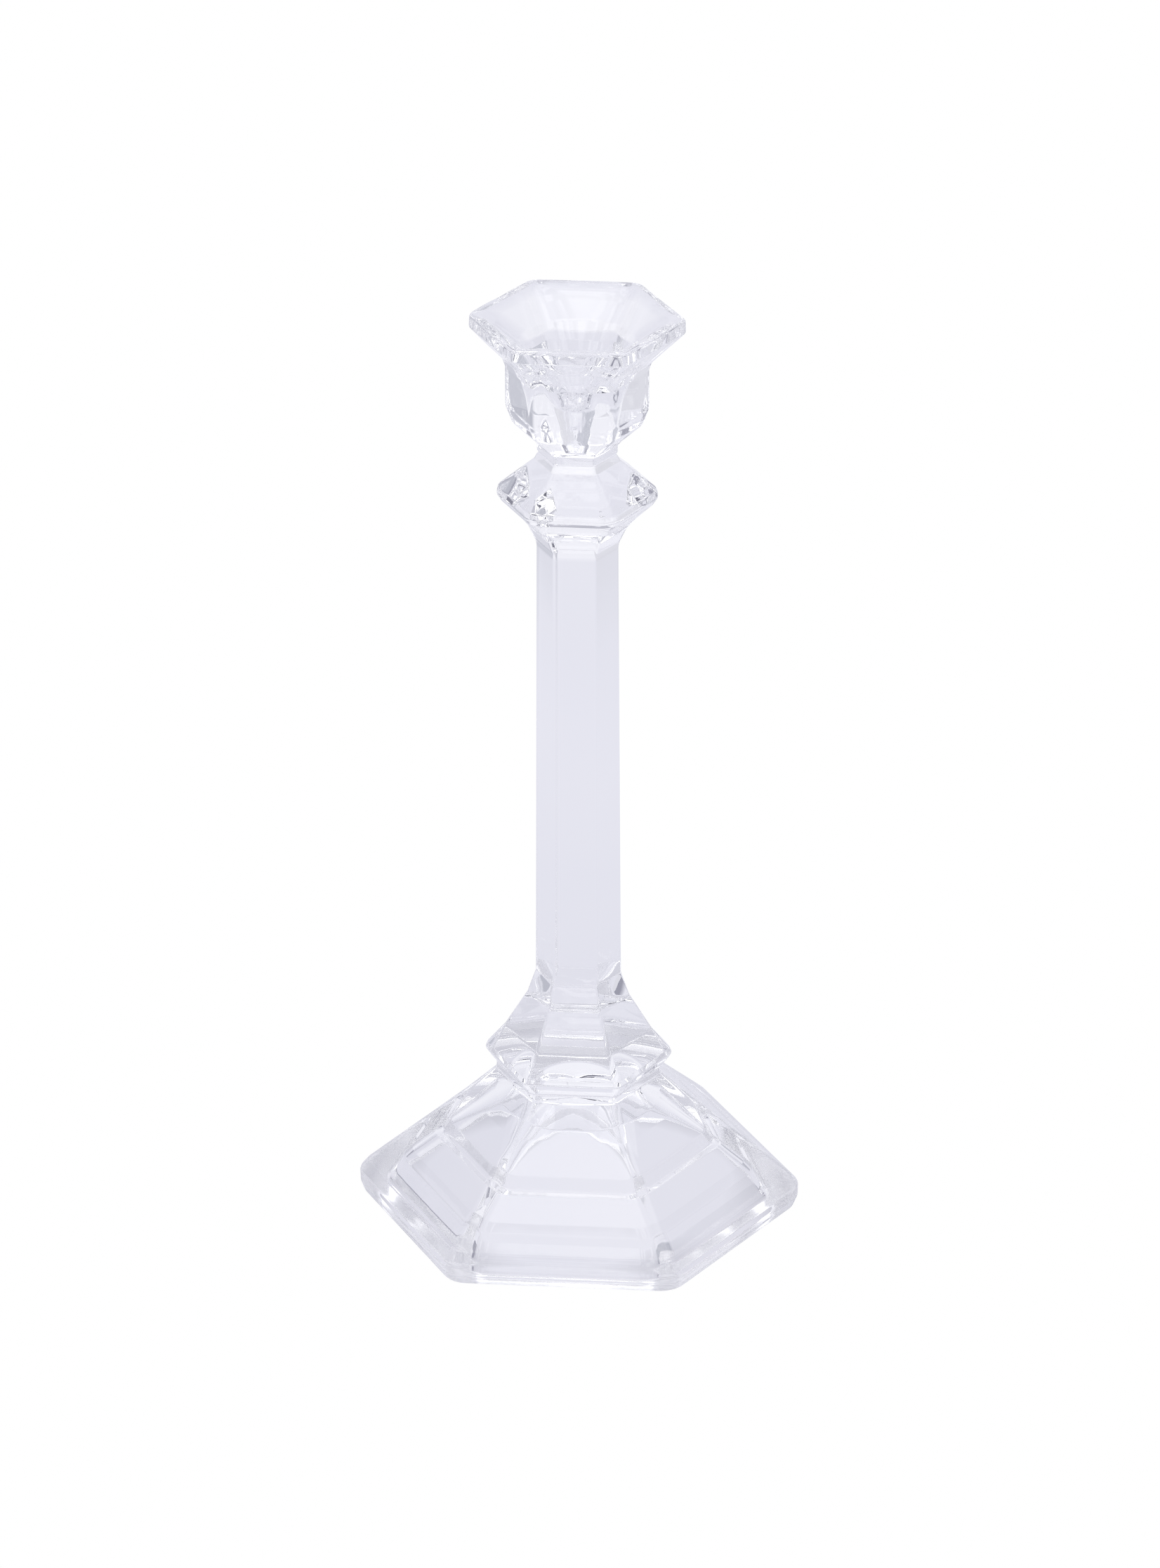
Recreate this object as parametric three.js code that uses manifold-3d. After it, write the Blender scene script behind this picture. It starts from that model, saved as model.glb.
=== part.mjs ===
// A pressed-glass candlestick, 254 mm tall: hexagonal throughout, with a hollow foot, a flared
// collar, a slim column, a double-bevelled knop and a socket whose wide rim catches the wax.
// It is glass from end to end. The six pieces below are the pressed sections, and each one is
// fused to the next at a flat hexagonal face where its profile changes.
// Millimetres, +Z up, origin at the middle of the foot's resting edge. Two corners lie on X.

import * as THREE from "three";
import { mergeVertices } from "three/addons/utils/BufferGeometryUtils.js";
import Module from "manifold-3d";

const wasm = await Module();
wasm.setup();

// Driving dimensions. Every radius is measured to a sharp corner of the hexagon.
const height = 254;
const rimRadius = 28.3;
const footRadius = 59.7;
const footRestRadius = 58.4;
const cupRadius = 19.2;
const neckRadius = 10.5;
const knopRadius = 21.8;
const columnTopRadius = 10.7;
const columnFootRadius = 11.4;
const ledgeRadius = 25.2;
const throatRadius = 22.3;

// Heights of the fused faces between the sections.
const footTop = 39.5;
const collarTop = 66.5;
const columnTop = 191.5;
const knopTop = 216;
const waferTop = 218.6;

// Hollows: the foot underneath, and the tapered well and bowl that hold the candle.
const hollowMouthRadius = 47.5;
const hollowTop = 33.2;
const wellFloor = 221.5;
const bowlFloor = 242.6;

const sides = 6;
const roundSides = 72;

const glass = { color: 0xe9e9f2, roughness: 0.06, metalness: 0 };

function toSolid(geometry) {
  geometry.deleteAttribute("normal");
  geometry.deleteAttribute("uv");
  const merged = mergeVertices(geometry, 1e-4);
  return new wasm.Manifold(new wasm.Mesh({
    numProp: 3,
    vertProperties: new Float32Array(merged.attributes.position.array),
    triVerts: new Uint32Array(merged.index.array),
  }));
}

function toGeometry(solid) {
  const mesh = solid.getMesh();
  const geometry = new THREE.BufferGeometry();
  geometry.setAttribute("position", new THREE.BufferAttribute(mesh.vertProperties, 3));
  geometry.setIndex(new THREE.BufferAttribute(mesh.triVerts, 1));
  geometry.computeVertexNormals();
  return geometry;
}

// A solid turned around Z from [radius, height] pairs that run upwards, closed on the axis.
function turned(profile, segments) {
  const first = profile[0];
  const last = profile[profile.length - 1];
  const outline = [[0, first[1]], ...profile, [0, last[1]]];
  const points = outline.map(([radius, z]) => new THREE.Vector2(radius, z));
  const geometry = new THREE.LatheGeometry(points, segments, Math.PI / 2);
  geometry.rotateX(Math.PI / 2);
  return toSolid(geometry);
}

// The same profile with six flat sides, its corners trimmed to a round of `keep` times its radius.
function hexagonal(profile, keep) {
  const round = turned(profile.map(([radius, z]) => [radius * keep, z]), roundSides);
  return turned(profile, sides).intersect(round);
}

function section(name, solid) {
  const mesh = new THREE.Mesh(toGeometry(solid), new THREE.MeshStandardMaterial(glass));
  mesh.name = name;
  return mesh;
}

// Foot: a vertical slab edge, a sloping skirt and a short throat, pressed hollow from below.
function makeFoot() {
  const outside = hexagonal([
    [footRestRadius, 0],
    [footRadius - 0.3, 2],
    [footRadius, 3.4],
    [footRadius, 5.6],
    [footRadius - 1.5, 7.8],
    [56.2, 9.6],
    [30.8, 30.6],
    [throatRadius, 38.2],
    [throatRadius, footTop],
  ], 0.982);
  return outside.subtract(makeFootHollow());
}

// Six walls with a narrow ledge part of the way up, under a round domed roof.
function makeFootHollow() {
  const walls = hexagonal([
    [hollowMouthRadius, -1],
    [hollowMouthRadius, 0],
    [hollowMouthRadius - 2.9, 7.6],
    [42.4, 10],
    [36, 15.2],
    [33.6, 15.7],
    [32, 19.2],
    [21, 28.2],
    [13, 32.4],
    [6, hollowTop],
  ], 0.985);
  const dome = turned([
    [hollowMouthRadius, -1],
    [hollowMouthRadius, 15],
    [31.5, 19.2],
    [18.8, 28.2],
    [11.6, 32.2],
    [6, hollowTop],
  ], roundSides);
  return walls.intersect(dome);
}

// Collar: an undercut ledge below a skirt that sweeps up and in to the column.
function makeCollar() {
  return hexagonal([
    [throatRadius, footTop],
    [throatRadius, 40.2],
    [ledgeRadius - 1.2, 42.4],
    [ledgeRadius, 44],
    [ledgeRadius - 0.6, 45.6],
    [19.6, 51.2],
    [16, 56.5],
    [13.6, 61],
    [12, 65],
    [columnFootRadius, collarTop],
  ], 0.975);
}

// Column: a plain hexagonal shaft, a little wider at its foot.
function makeColumn() {
  return hexagonal([
    [columnFootRadius, collarTop],
    [columnTopRadius, 189],
    [columnTopRadius + 0.1, columnTop],
  ], 0.985);
}

// Knop: a hollow-sided cove, a steep bevel, a narrow band and a broad upper bevel.
function makeKnop() {
  return hexagonal([
    [columnTopRadius + 0.1, columnTop],
    [11.5, 193.4],
    [13, 195.6],
    [15.9, 199],
    [knopRadius - 1.3, 203],
    [knopRadius - 0.2, 204.2],
    [knopRadius, 205.2],
    [knopRadius - 0.8, 206.7],
    [11.3, 214.4],
    [neckRadius + 0.1, 215.3],
    [neckRadius, knopTop],
  ], 0.96);
}

// Wafer: the thin disc of glass that joins the socket to the knop.
function makeWafer() {
  return hexagonal([
    [neckRadius, knopTop],
    [neckRadius, waferTop],
  ], 0.985);
}

// Socket: a hexagonal cup under a flared rim. The wide bowl in the rim drains into a round well
// that narrows downwards, so the end of a taper candle wedges in it.
function makeSocket() {
  const outside = hexagonal([
    [neckRadius, waferTop],
    [10.9, 219.1],
    [12.3, 220.4],
    [16.9, 224.4],
    [18, 226],
    [cupRadius - 0.2, 228.6],
    [cupRadius, 230.2],
    [cupRadius, 240.4],
    [cupRadius + 0.6, 242.2],
    [rimRadius - 0.6, 250],
    [rimRadius, 250.9],
    [rimRadius, 253],
    [rimRadius - 1, height],
  ], 0.97);
  const bowl = hexagonal([
    [13.6, bowlFloor],
    [17.2, 246.9],
    [22.8, 251.8],
    [25.4, height],
    [26.4, height + 1],
  ], 0.92);
  const well = turned([
    [3, wellFloor],
    [5.7, 232],
    [9.1, 237.4],
    [12.2, bowlFloor + 0.2],
  ], roundSides);
  return outside.subtract(bowl).subtract(well);
}

const group = new THREE.Group();
group.add(
  section("foot", makeFoot()),
  section("collar", makeCollar()),
  section("column", makeColumn()),
  section("knop", makeKnop()),
  section("joining_wafer", makeWafer()),
  section("candle_socket", makeSocket()),
);

export default group;
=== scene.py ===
"""Looks of the glass candlestick: six fused sections of clear pressed glass on a pale studio floor."""
import math

import bpy
from mathutils import Matrix, Vector, noise


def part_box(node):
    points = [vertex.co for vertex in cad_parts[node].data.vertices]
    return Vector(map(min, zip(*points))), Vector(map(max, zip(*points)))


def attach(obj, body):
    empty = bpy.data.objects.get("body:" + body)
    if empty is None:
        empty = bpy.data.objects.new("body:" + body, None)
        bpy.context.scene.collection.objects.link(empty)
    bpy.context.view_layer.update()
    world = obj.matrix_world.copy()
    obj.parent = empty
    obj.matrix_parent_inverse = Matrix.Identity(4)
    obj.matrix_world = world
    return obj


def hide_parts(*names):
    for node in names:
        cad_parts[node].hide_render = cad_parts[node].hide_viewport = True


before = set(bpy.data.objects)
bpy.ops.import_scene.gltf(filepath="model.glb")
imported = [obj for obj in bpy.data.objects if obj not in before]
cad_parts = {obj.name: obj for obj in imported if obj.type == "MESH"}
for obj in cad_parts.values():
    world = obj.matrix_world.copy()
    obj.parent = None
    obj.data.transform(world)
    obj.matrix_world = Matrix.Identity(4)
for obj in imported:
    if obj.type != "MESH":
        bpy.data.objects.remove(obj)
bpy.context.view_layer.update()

MM = 0.001
COS30 = math.cos(math.radians(30))

CORNER_STEPS = 10
SIDE_STEPS = 14
FILLET_STEPS = 6
STEP = 2.5
WELL_STEP = 0.6


# ---------------------------------------------------------------- outline of the glass
# The whole piece is one hexagonal sweep. Each row of an outline is a corner of its profile:
# (radius to the sharp corner, height, fillet, rounding of the hexagon's corners, ripple), in mm.
# It runs from the bottom of the candle's well over the rim, down the outside and up into the foot.
WELL = [
    (0, 221.5, 0, 0.0, 0.05),
    (3.2, 221.5, 0.9, 2.7, 0.05),
    (6.6, 232, 6.0, 6.0, 0.05),
    (10.4, 237.4, 4.0, 8.5, 0.03),
    (13.8, 242.6, 3.0, 11, 0.03),
    (17.2, 246.9, 4, 13, 0.02),
    (22.8, 251.8, 3.0, 12, 0.02),
]
RIM = [
    (25.4, 254, 1.2, 4, 0.10),
    (28.2, 254, 1.0, 4, 0.10),
    (28.3, 250.6, 0.8, 4, 0.08),
    (19.8, 242.2, 2.0, 4, 0.02),
    (19.2, 240, 1.0, 5, 0.01),
    (19.2, 229.3, 5.0, 5, 0.01),
    (17.6, 225.0, 3.0, 5, 0.01),
    (12.3, 220.4, 2.0, 3.5, 0.01),
    (10.6, 218.8, 0.8, 1.0, 0.01),
    (10.5, 216.8, 0.3, 1.0, 0.01),
    (10.1, 216.3, 0.1, 1.0, 0.0),
    (10.5, 215.8, 0.3, 1.0, 0.01),
]
KNOP = [
    (11.3, 214.4, 1.0, 1.5, 0.01),
    (21.2, 206.6, 1.6, 5, 0.03),
    (21.8, 204.8, 1.6, 6, 0.03),
    (20.6, 203.1, 1.6, 5, 0.03),
    (15.9, 199.0, 0.6, 2.5, 0.01),
    (13.0, 195.8, 3, 1.5, 0.01),
    (10.7, 191.0, 6, 1.0, 0.01),
]
COLUMN = [
    (11.4, 67.5, 2, 1.0, 0.01),
    (13.6, 61, 6, 1.0, 0.01),
    (19.6, 51.2, 6, 1.5, 0.01),
    (24.6, 45.6, 1.0, 3, 0.02),
    (25.2, 44.2, 0.8, 3, 0.02),
    (24.0, 42.4, 0.8, 3, 0.02),
    (22.2, 40.2, 1.5, 3, 0.02),
]
FOOT = [
    (22.3, 38.2, 1.5, 3, 0.01),
    (30.8, 30.6, 10, 3, 0.01),
    (57.2, 8.8, 2.0, 4, 0.02),
    (59.7, 6.2, 2.0, 7, 0.02),
    (59.6, 3.0, 1.5, 7, 0.02),
    (58.4, 0, 0.8, 7, 0.02),
]
HOLLOW = [
    (47.5, 0, 1.0, 6, 0.02),
    (44.6, 7.6, 3.0, 5, 0.02),
    (42.4, 10.0, 1.5, 5, 0.02),
    (36.0, 15.2, 1.2, 4, 0.02),
    (33.6, 15.7, 1.2, 4, 0.02),
    (32.0, 19.2, 1.2, 4, 0.02),
    (21, 28.2, 4, 15, 0.02),
    (13, 32.4, 6, 12, 0.02),
    (0, 33.5, 0, 0.0, 0.02),
]
GRAIN_TOP = 236
GRAIN = 0.07
GRAIN_SIZE = 1.8
RIPPLE_SIZE = 6.0


def filleted(corners):
    """The outline with its corners rounded: a list of (apothem, height, corner rounding, ripple)."""
    flat = [Vector((r * COS30, z)) for r, z, *_ in corners]
    extra = [Vector((corner, ripple)) for *_, corner, ripple in corners]
    out = [(*flat[0], *extra[0])]
    for i in range(1, len(flat) - 1):
        p = flat[i]
        before = flat[i - 1] - p
        after = flat[i + 1] - p
        half = before.angle(after) / 2
        fillet = corners[i][2]
        if fillet <= 0 or half > math.radians(89.5):
            out.append((*p, *extra[i]))
            continue
        reach = min(fillet / math.tan(half), before.length * 0.48, after.length * 0.48)
        radius = reach * math.tan(half)
        middle = (before.normalized() + after.normalized()).normalized()
        centre = p + middle * (radius / math.sin(half))
        arm = p + before.normalized() * reach - centre
        sweep = arm.angle_signed(p + after.normalized() * reach - centre)
        first = extra[i].lerp(extra[i - 1], reach / before.length)
        last = extra[i].lerp(extra[i + 1], reach / after.length)
        for s in range(FILLET_STEPS + 1):
            t = s / FILLET_STEPS
            point = centre + Matrix.Rotation(-sweep * t, 2) @ arm
            out.append((*point, *first.lerp(last, t)))
    out.append((*flat[-1], *extra[-1]))
    return out


def spread(points, step):
    """The outline with points added along its straight stretches, closer together near their ends."""
    out = [points[0]]
    for p, q in zip(points, points[1:]):
        length = math.hypot(q[0] - p[0], q[1] - p[1])
        n = max(1, math.ceil(length / step))
        if n > 1:
            n = max(n, 4)
        for i in range(1, n + 1):
            t = (1 - math.cos(math.pi * i / n)) / 2
            out.append(tuple(a + (b - a) * t for a, b in zip(p, q)))
    return out


def polar(radius, degrees):
    return Vector((radius * math.cos(math.radians(degrees)), radius * math.sin(math.radians(degrees))))


def ring(apothem, corner):
    """One hexagonal section, its rounded corners on the X axis: a list of x, y points."""
    corner = min(corner, apothem * 0.98)
    hub = (apothem - corner) / COS30
    points = []
    for k in range(6):
        for i in range(CORNER_STEPS + 1):
            points.append(polar(hub, 60 * k) + polar(corner, 60 * k + 60 * (i / CORNER_STEPS - 0.5)))
        start = points[-1]
        end = polar(hub, 60 * (k + 1)) + polar(corner, 60 * k + 30)
        for i in range(1, SIDE_STEPS):
            points.append(start.lerp(end, (1 - math.cos(math.pi * i / SIDE_STEPS)) / 2))
    return points


# ---------------------------------------------------------------- sections of the glass
SECTIONS = ("candle_socket", "joining_wafer", "knop", "column", "collar", "foot")


def all_rings():
    """The rings of the whole piece, and how many of them belong to each section, top to bottom.

    A ring is (apothem, height, corner rounding, ripple, grain). Neighbouring sections share a ring at
    the height where their CAD nodes meet, because fused glass has no face inside it.
    """
    inside = [(*p, GRAIN if p[1] < GRAIN_TOP else 0) for p in spread(filleted(WELL), WELL_STEP)]
    outside = [(*p, 0) for p in spread(filleted(RIM + KNOP + COLUMN + FOOT + HOLLOW), STEP)]
    cuts = [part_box(name)[0][2] / MM for name in SECTIONS[:-1]]
    rings = inside
    ends = []
    for p, q in zip(outside, outside[1:]):
        rings.append(p)
        if len(ends) < len(cuts) and p[1] > cuts[len(ends)] >= q[1]:
            t = (p[1] - cuts[len(ends)]) / (p[1] - q[1])
            rings.append(tuple(a + (b - a) * t for a, b in zip(p, q)))
            ends.append(len(rings) - 1)
    rings.append(outside[-1])
    ends.append(len(rings) - 1)
    return rings, ends


def sweep_mesh(name, rings):
    """A mesh through the rings; a ring of no size is a single point. Also lists each ring's vertices."""
    verts, faces, rows = [], [], []
    count = 6 * (CORNER_STEPS + SIDE_STEPS)
    for apothem, height, corner, *_ in rings:
        points = ring(apothem, corner) if apothem > 0 else [(0, 0)]
        rows.append(range(len(verts), len(verts) + len(points)))
        verts += [(x * MM, y * MM, height * MM) for x, y in points]
    for above, below in zip(rows, rows[1:]):
        for i in range(count):
            j = (i + 1) % count
            corners = [above[j % len(above)], above[i % len(above)], below[i % len(below)], below[j % len(below)]]
            faces.append(tuple(dict.fromkeys(corners)))
    mesh = bpy.data.meshes.new(name)
    mesh.from_pydata(verts, [], faces)
    mesh.shade_smooth()
    return mesh, rows


def ripple(point, size, seed):
    """A smooth value near -1 to 1 that varies over about size millimetres."""
    return noise.noise(point / (size * MM) + Vector((seed, seed * 2, seed * 3))) * 1.4


def worked_surface(mesh, rows, rings):
    """Moves the surface a few hundredths of a millimetre, as pressed and fire-polished glass is."""
    moves = []
    for row, (*_, wave, grain) in zip(rows, rings):
        for v in row:
            point = mesh.vertices[v].co
            move = wave * ripple(point, RIPPLE_SIZE, 3) + grain * ripple(point, GRAIN_SIZE, 7)
            moves.append(mesh.vertices[v].normal * move * MM)
    for vertex, move in zip(mesh.vertices, moves):
        vertex.co += move
    mesh.update()


def make_sections(material):
    rings, ends = all_rings()
    whole, rows = sweep_mesh("whole", rings)
    worked_surface(whole, rows, rings)
    first = 0
    for name, last in zip(SECTIONS, ends):
        mesh, part_rows = sweep_mesh(name + "_glass", rings[first:last + 1])
        start = rows[first][0]
        normals = []
        for i, vertex in enumerate(mesh.vertices):
            vertex.co = whole.vertices[start + i].co
            normals.append(whole.vertices[start + i].normal)
        mesh.normals_split_custom_set_from_vertices(normals)
        mesh.materials.append(material)
        piece = bpy.data.objects.new(mesh.name, mesh)
        bpy.context.collection.objects.link(piece)
        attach(piece, "root")
        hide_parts(name)
        first = last
    bpy.data.meshes.remove(whole)


# ---------------------------------------------------------------- glass
def make_glass():
    """Clear glass with a faint cool tint that comes and goes, soft smears, and a scuffed rest rim."""
    material = bpy.data.materials.new("clear_glass")
    material.use_nodes = True
    nodes = material.node_tree.nodes
    links = material.node_tree.links
    shader = nodes["Principled BSDF"]
    shader.inputs["IOR"].default_value = 1.5
    shader.inputs["Transmission Weight"].default_value = 1.0
    coords = nodes.new("ShaderNodeTexCoord")

    tint = nodes.new("ShaderNodeTexNoise")
    tint.inputs["Scale"].default_value = 28
    tint.inputs["Detail"].default_value = 2
    links.new(coords.outputs["Object"], tint.inputs["Vector"])
    tint_colour = nodes.new("ShaderNodeValToRGB")
    set_ramp(tint_colour, [(0.35, (0.985, 0.988, 0.996, 1)), (0.65, (1, 1, 1, 1))])
    links.new(tint.outputs["Fac"], tint_colour.inputs["Fac"])
    links.new(tint_colour.outputs["Color"], shader.inputs["Base Color"])

    smear = nodes.new("ShaderNodeTexNoise")
    smear.inputs["Scale"].default_value = 90
    smear.inputs["Detail"].default_value = 3
    smear.inputs["Distortion"].default_value = 0.8
    links.new(coords.outputs["Object"], smear.inputs["Vector"])
    smear_level = nodes.new("ShaderNodeMapRange")
    smear_level.inputs["From Min"].default_value = 0.5
    smear_level.inputs["From Max"].default_value = 0.8
    smear_level.inputs["To Max"].default_value = 0.03
    links.new(smear.outputs["Fac"], smear_level.inputs["Value"])
    place = nodes.new("ShaderNodeSeparateXYZ")
    links.new(coords.outputs["Object"], place.inputs[0])
    scuff = nodes.new("ShaderNodeMapRange")
    scuff.inputs["From Min"].default_value = 0.0002
    scuff.inputs["From Max"].default_value = 0.0010
    scuff.inputs["To Min"].default_value = 0.22
    scuff.inputs["To Max"].default_value = 0.0
    links.new(place.outputs["Z"], scuff.inputs["Value"])
    roughness = nodes.new("ShaderNodeMath")
    roughness.operation = "MAXIMUM"
    links.new(smear_level.outputs[0], roughness.inputs[0])
    links.new(scuff.outputs[0], roughness.inputs[1])
    links.new(roughness.outputs[0], shader.inputs["Roughness"])

    polish = nodes.new("ShaderNodeTexNoise")
    polish.inputs["Scale"].default_value = 160
    polish.inputs["Detail"].default_value = 1
    links.new(coords.outputs["Object"], polish.inputs["Vector"])
    bump = nodes.new("ShaderNodeBump")
    bump.inputs["Strength"].default_value = 0.02
    bump.inputs["Distance"].default_value = 0.001
    links.new(polish.outputs["Fac"], bump.inputs["Height"])
    links.new(bump.outputs["Normal"], shader.inputs["Normal"])
    return material


# ---------------------------------------------------------------- stage
# Colours of the floor and the room, as the glass sees them.
PALE = (0.80, 0.80, 0.88, 1)
# Painted shade: the floor a little dimmer near the object than the wider sheet.
SHADED_NEAR = (0.76, 0.76, 0.84, 1)
# Painted shadow: the darker ring the glass sees on the floor around the foot.
PAINTED_SHADOW = (0.62, 0.62, 0.69, 1)
BRIGHT = (0.90, 0.90, 0.96, 1)
DIM_LEFT = (0.74, 0.74, 0.80, 1)
DIM_RIGHT = (0.56, 0.57, 0.64, 1)
DIM_FRONT = (0.50, 0.50, 0.57, 1)
DIM_WALL = (0.46, 0.47, 0.54, 1)
DARK = (0.06, 0.06, 0.10, 1)
SIDE = (0.30, 0.30, 0.37, 1)
SPARKLE = (1.7, 1.7, 1.7, 1)
SOFT_BOX = (2.0, 2.0, 2.0, 1)
WHITE = (1, 1, 1, 1)

# Where the floor changes, in metres: a painted shadow ring around the foot, painted shade near the object, then
# the paler wider sheet.
SHADOW_RING_INNER = (0.046, 0.040)
SHADOW_RING_OUTER = (0.052, 0.062)
SHEET_EDGE = (0.10, 0.30)
FLOOR_BACK = (0.35, 0.60)
FLOOR_RIGHT = (0.24, 0.36)
FLOOR_LEFT = (-0.26, -0.34)
FLOOR_FRONT = (-0.25, -0.45)
FLOOR_HALF = 6.0
FLOOR_GAP = 0.0004

# Where the room changes, as parts of a direction's length along an axis.
ROOM_BACK = (0.60, 0.85)
ROOM_SIDE = (0.75, 0.86)
ROOM_RIGHT = (0.25, 0.40)
ROOM_LOW = (0.30, 0.15)
ROOM_BEHIND = (-0.30, -0.45)
ROOM_ABOVE = (0.78, 0.86)
ROOM_SCALE = 7.0
ROOM = [(0.42, DARK), (0.48, PALE), (0.52, PALE), (0.57, SPARKLE)]


def set_ramp(node, stops):
    ramp = node.color_ramp
    while len(ramp.elements) > 1:
        ramp.elements.remove(ramp.elements[-1])
    ramp.elements[0].position, ramp.elements[0].color = stops[0]
    for place, colour in stops[1:]:
        ramp.elements.new(place).color = colour


def ranged(nodes, links, value, edge):
    """A value that goes from 0 to 1 across an edge, given as the places where it starts and ends."""
    node = nodes.new("ShaderNodeMapRange")
    node.inputs["From Min"].default_value = edge[0]
    node.inputs["From Max"].default_value = edge[1]
    links.new(value, node.inputs["Value"])
    return node.outputs[0]


def blended(nodes, links, factor, a, b):
    """Colour a where the factor is 0 and b where it is 1."""
    node = nodes.new("ShaderNodeMix")
    node.data_type = "RGBA"
    links.new(factor, node.inputs["Factor"])
    for colour, socket in ((a, node.inputs["A"]), (b, node.inputs["B"])):
        if isinstance(colour, tuple):
            socket.default_value = colour
        else:
            links.new(colour, socket)
    return node.outputs["Result"]


def make_floor():
    """A pale sheet that glows though it is no lamp, its colour painting the light and shade the glass sees: a
    painted shadow ring around the foot, painted shade near it, brighter behind, a little dimmer to the sides and
    in front. The camera itself sees it as white.
    """
    mesh = bpy.data.meshes.new("floor")
    corners = [(-1, -1), (1, -1), (1, 1), (-1, 1)]
    mesh.from_pydata([(x * FLOOR_HALF, y * FLOOR_HALF, -FLOOR_GAP) for x, y in corners], [], [(0, 1, 2, 3)])
    floor = bpy.data.objects.new("floor", mesh)
    bpy.context.collection.objects.link(floor)
    material = bpy.data.materials.new("floor")
    material.use_nodes = True
    nodes = material.node_tree.nodes
    links = material.node_tree.links
    nodes.clear()
    coords = nodes.new("ShaderNodeTexCoord")
    place = nodes.new("ShaderNodeSeparateXYZ")
    links.new(coords.outputs["Object"], place.inputs[0])
    distance = nodes.new("ShaderNodeVectorMath")
    distance.operation = "LENGTH"
    links.new(coords.outputs["Object"], distance.inputs[0])
    length = distance.outputs["Value"]
    x = place.outputs["X"]
    y = place.outputs["Y"]
    # Painted contact shadow: a darker ring in the glowing floor around the foot's rest rim, inside painted shade
    # near the object.
    colour = blended(nodes, links, ranged(nodes, links, length, SHADOW_RING_OUTER), PAINTED_SHADOW, SHADED_NEAR)
    colour = blended(nodes, links, ranged(nodes, links, length, SHADOW_RING_INNER), colour, SHADED_NEAR)
    colour = blended(nodes, links, ranged(nodes, links, length, SHEET_EDGE), colour, PALE)
    # Painted light and shade on the glowing floor: brighter towards the back, dimmer to the right, the left and
    # the front.
    colour = blended(nodes, links, ranged(nodes, links, y, FLOOR_BACK), colour, BRIGHT)
    colour = blended(nodes, links, ranged(nodes, links, x, FLOOR_RIGHT), colour, DIM_RIGHT)
    colour = blended(nodes, links, ranged(nodes, links, x, FLOOR_LEFT), colour, DIM_LEFT)
    colour = blended(nodes, links, ranged(nodes, links, y, FLOOR_FRONT), colour, DIM_FRONT)
    through = nodes.new("ShaderNodeEmission")
    links.new(colour, through.inputs["Color"])
    seen = nodes.new("ShaderNodeEmission")
    seen.inputs["Color"].default_value = WHITE
    mix = nodes.new("ShaderNodeMixShader")
    links.new(nodes.new("ShaderNodeLightPath").outputs["Is Camera Ray"], mix.inputs["Fac"])
    links.new(through.outputs[0], mix.inputs[1])
    links.new(seen.outputs[0], mix.inputs[2])
    links.new(mix.outputs[0], nodes.new("ShaderNodeOutputMaterial").inputs["Surface"])
    mesh.materials.append(material)


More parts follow.
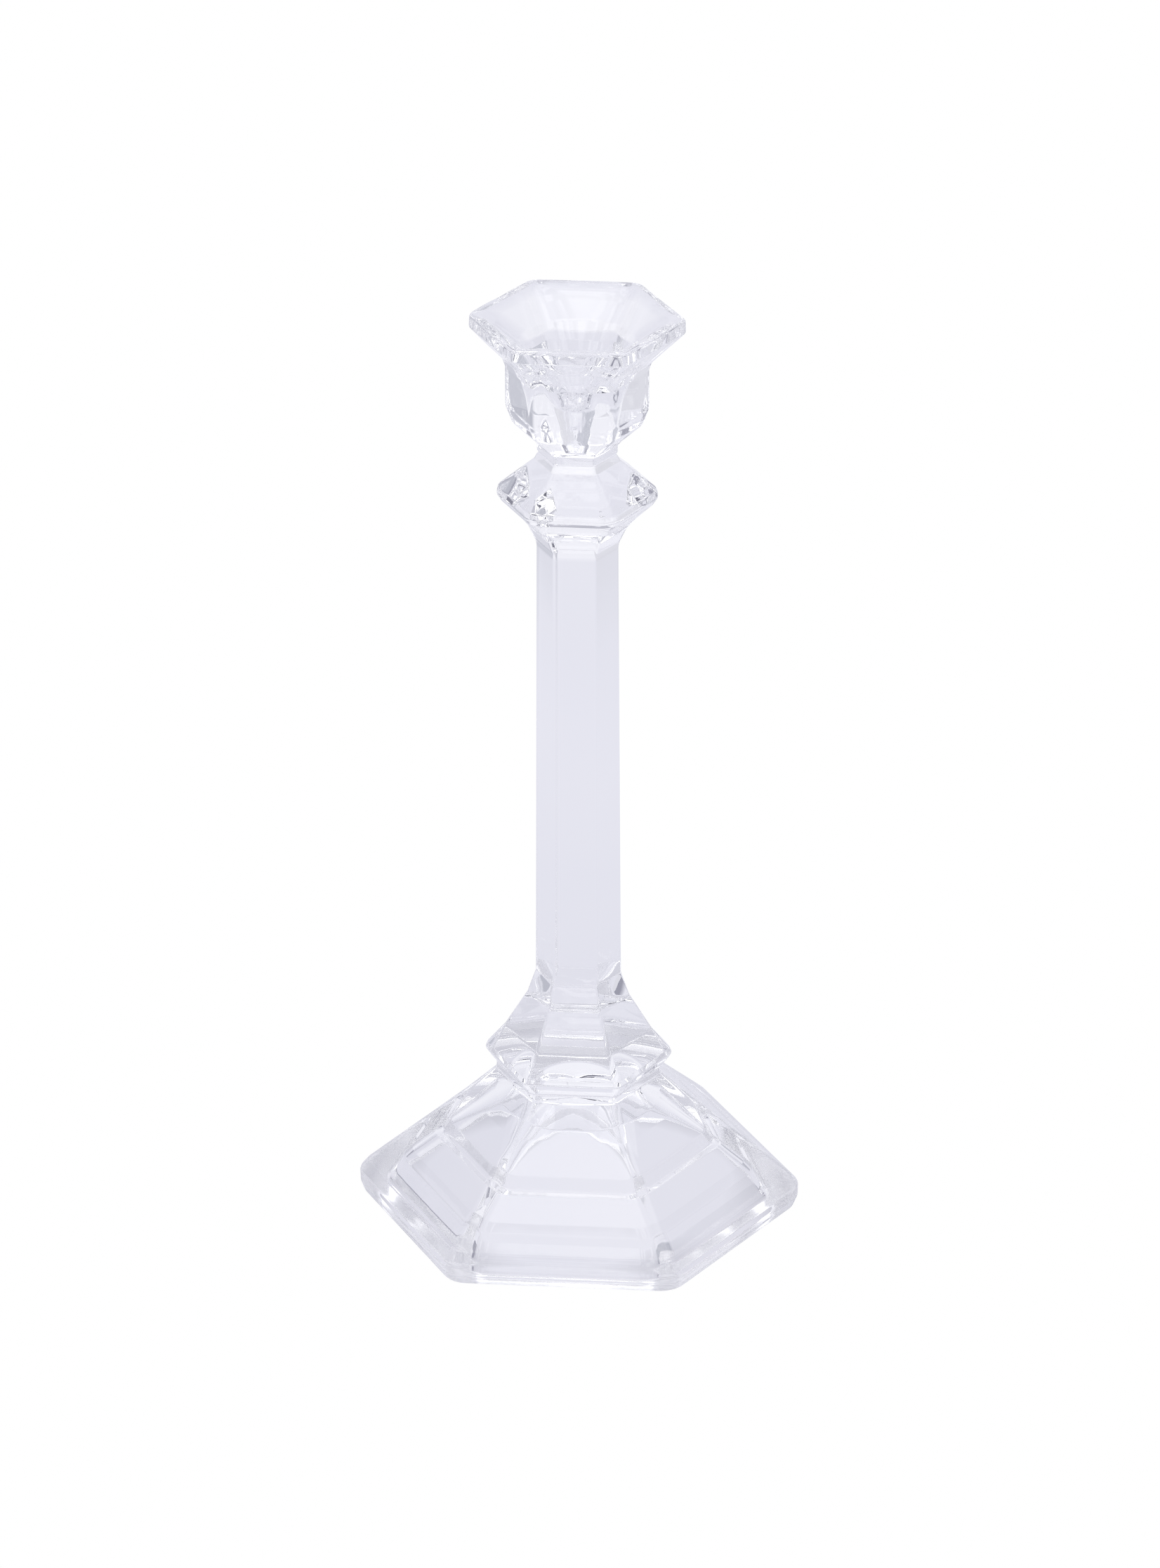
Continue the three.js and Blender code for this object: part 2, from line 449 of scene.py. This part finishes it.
def make_world():
    """Soft studio light: bright behind the object, dim to the sides, patchy behind the camera."""
    world = bpy.data.worlds.new("studio")
    bpy.context.scene.world = world
    world.use_nodes = True
    nodes = world.node_tree.nodes
    links = world.node_tree.links
    nodes.clear()
    coords = nodes.new("ShaderNodeTexCoord")
    place = nodes.new("ShaderNodeSeparateXYZ")
    links.new(coords.outputs["Generated"], place.inputs[0])
    x = place.outputs["X"]
    y = place.outputs["Y"]
    z = place.outputs["Z"]
    colour = blended(nodes, links, ranged(nodes, links, y, ROOM_BACK), PALE, BRIGHT)
    side = nodes.new("ShaderNodeMath")
    side.operation = "ABSOLUTE"
    links.new(x, side.inputs[0])
    colour = blended(nodes, links, ranged(nodes, links, side.outputs[0], ROOM_SIDE), colour, SIDE)
    right = nodes.new("ShaderNodeMath")
    right.operation = "MULTIPLY"
    links.new(ranged(nodes, links, x, ROOM_RIGHT), right.inputs[0])
    links.new(ranged(nodes, links, z, ROOM_LOW), right.inputs[1])
    colour = blended(nodes, links, right.outputs[0], colour, DIM_WALL)
    room = nodes.new("ShaderNodeTexNoise")
    room.inputs["Scale"].default_value = ROOM_SCALE
    room.inputs["Detail"].default_value = 1.0
    links.new(coords.outputs["Generated"], room.inputs["Vector"])
    room_colour = nodes.new("ShaderNodeValToRGB")
    links.new(room.outputs["Fac"], room_colour.inputs["Fac"])
    set_ramp(room_colour, ROOM)
    behind = ranged(nodes, links, y, ROOM_BEHIND)
    colour = blended(nodes, links, behind, colour, room_colour.outputs["Color"])
    colour = blended(nodes, links, ranged(nodes, links, z, ROOM_ABOVE), colour, SOFT_BOX)
    back = nodes.new("ShaderNodeBackground")
    links.new(colour, back.inputs["Color"])
    links.new(back.outputs[0], nodes.new("ShaderNodeOutputWorld").inputs["Surface"])


# ---------------------------------------------------------------- camera
CAMERA_TURN = 4.92
CAMERA_RISE = 25.852
CAMERA_ROLL = -0.114
HEIGHT = 254
CAMERA_HEIGHTS_AWAY = 8.4508
AIM = (0.53, 0, 122.07)
LENS = 189.0


def make_camera():
    """The photograph's viewing angle: a long lens, a little to the right of the front and well above."""
    turn = math.radians(CAMERA_TURN)
    rise = math.radians(CAMERA_RISE)
    distance = CAMERA_HEIGHTS_AWAY * HEIGHT * MM
    aim_point = Matrix.Rotation(turn, 3, "Z") @ Vector(AIM) * MM
    back = Vector((math.sin(turn) * math.cos(rise), -math.cos(turn) * math.cos(rise), math.sin(rise)))
    data = bpy.data.cameras.new("camera")
    data.sensor_width = 36
    data.lens = LENS
    data.clip_end = 100
    camera = bpy.data.objects.new("camera", data)
    bpy.context.collection.objects.link(camera)
    aim = (-back).to_track_quat("-Z", "Y").to_matrix().to_4x4()
    roll = Matrix.Rotation(math.radians(CAMERA_ROLL), 4, "Z")
    camera.matrix_world = Matrix.Translation(aim_point + back * distance) @ aim @ roll
    bpy.context.scene.camera = camera


# A path through the ridges of the foot meets the glass many times before it leaves.
BOUNCES = 64


def set_looks():
    scene = bpy.context.scene
    scene.view_settings.view_transform = "Standard"
    scene.cycles.max_bounces = BOUNCES
    scene.cycles.transmission_bounces = BOUNCES
    scene.cycles.glossy_bounces = BOUNCES


make_camera()
make_sections(make_glass())
make_floor()
make_world()
set_looks()
